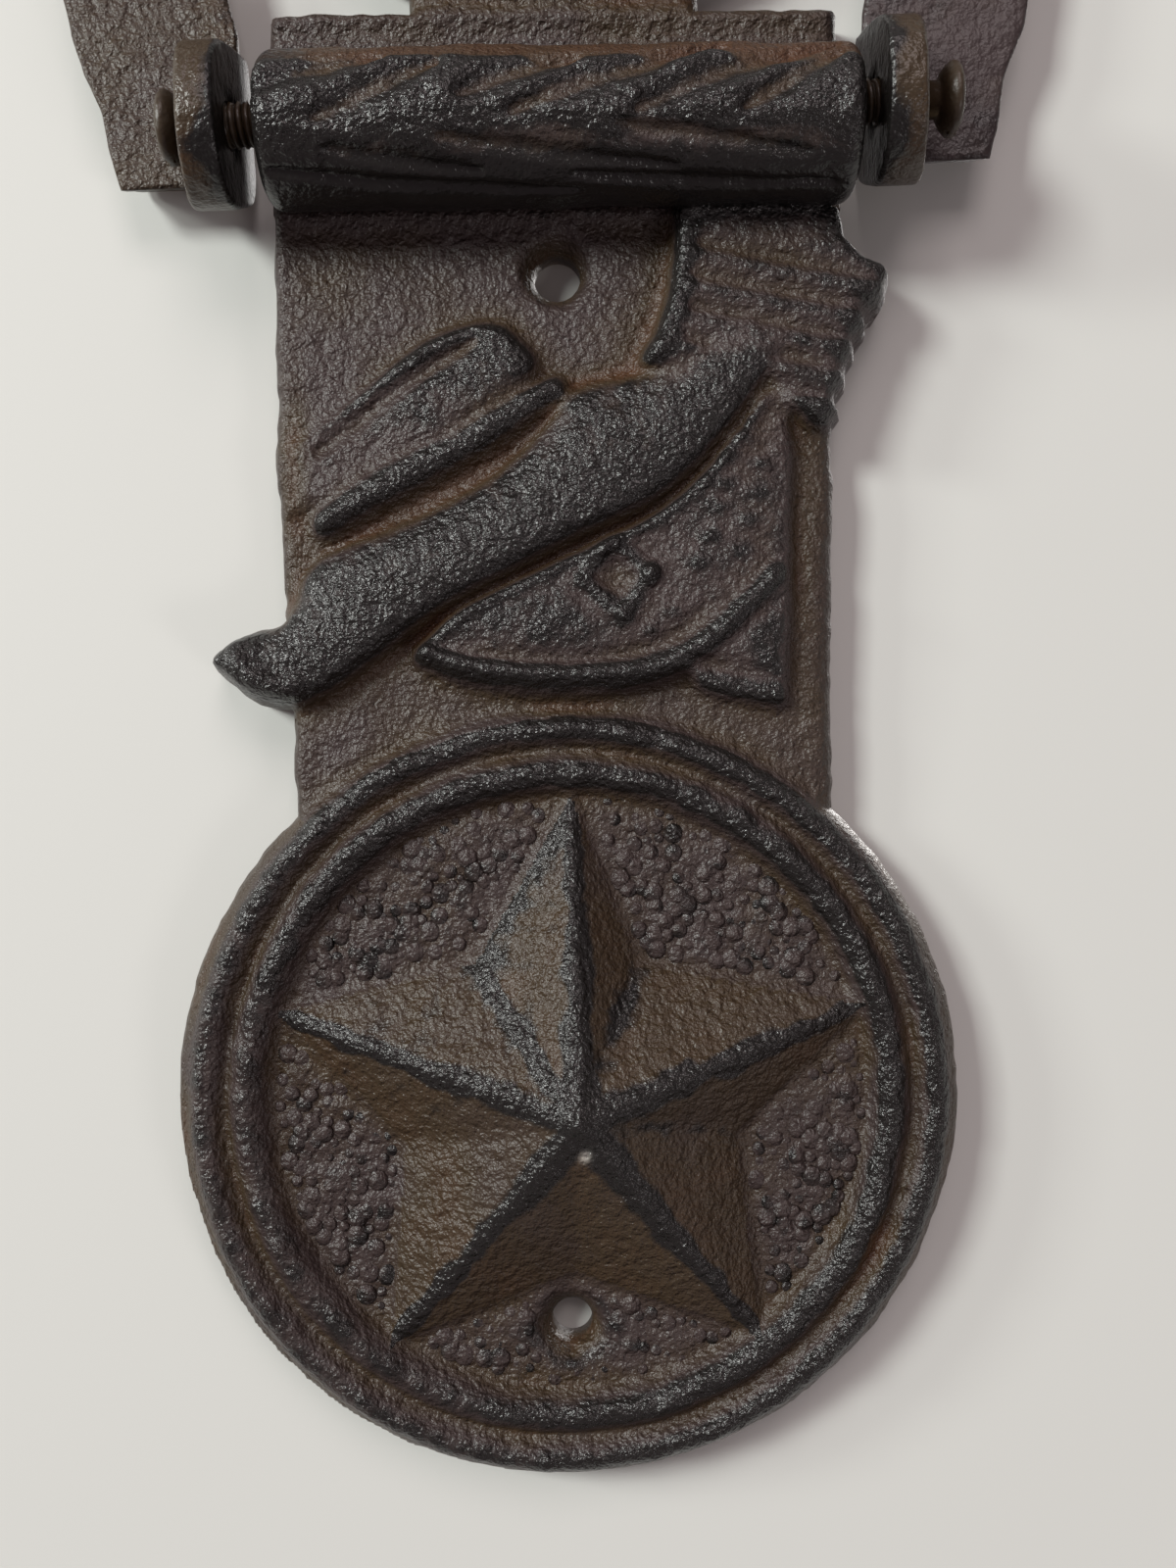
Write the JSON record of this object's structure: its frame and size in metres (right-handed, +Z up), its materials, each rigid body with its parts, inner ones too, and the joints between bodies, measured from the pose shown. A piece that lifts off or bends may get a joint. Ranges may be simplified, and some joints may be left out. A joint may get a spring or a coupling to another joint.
{
  "type": "door knocker",
  "caption": "Western style cast iron door knocker: star and boot back plate with a hinge barrel, hat finial and a horseshoe striker swinging on two screws.",
  "frame": {"origin": "on the door plane, midway between the two fixing holes", "axes": "+Z up as it hangs on the door, +X to the viewer's right, -Y out of the door towards the viewer; the back face lies on y = 0"},
  "size_m": [0.0951, 0.017, 0.2253],
  "materials": {
    "plate_casting": "sand cast, dark brown-black paint worn to bluish black on raised parts, rust brown in recesses",
    "shoe_casting": "sand cast, dark brown-black paint, rust brown toward the lugs",
    "screw": "steel machine screw under the same dark brown-black paint"
  },
  "bodies": {
    "back_plate": {"back_plate": "plate_casting", "pivot_screw_left": "screw", "pivot_screw_right": "screw"},
    "knocker": {"horseshoe_knocker": "shoe_casting"}
  },
  "joints": [
    {"name": "knocker_swing", "type": "hinge", "parent": "back_plate", "child": "knocker", "pos_m": [0, -0.0106, 0.0618], "axis": [0.9998, 0, 0.0218], "range_deg": [0, 181.3]}
  ]
}
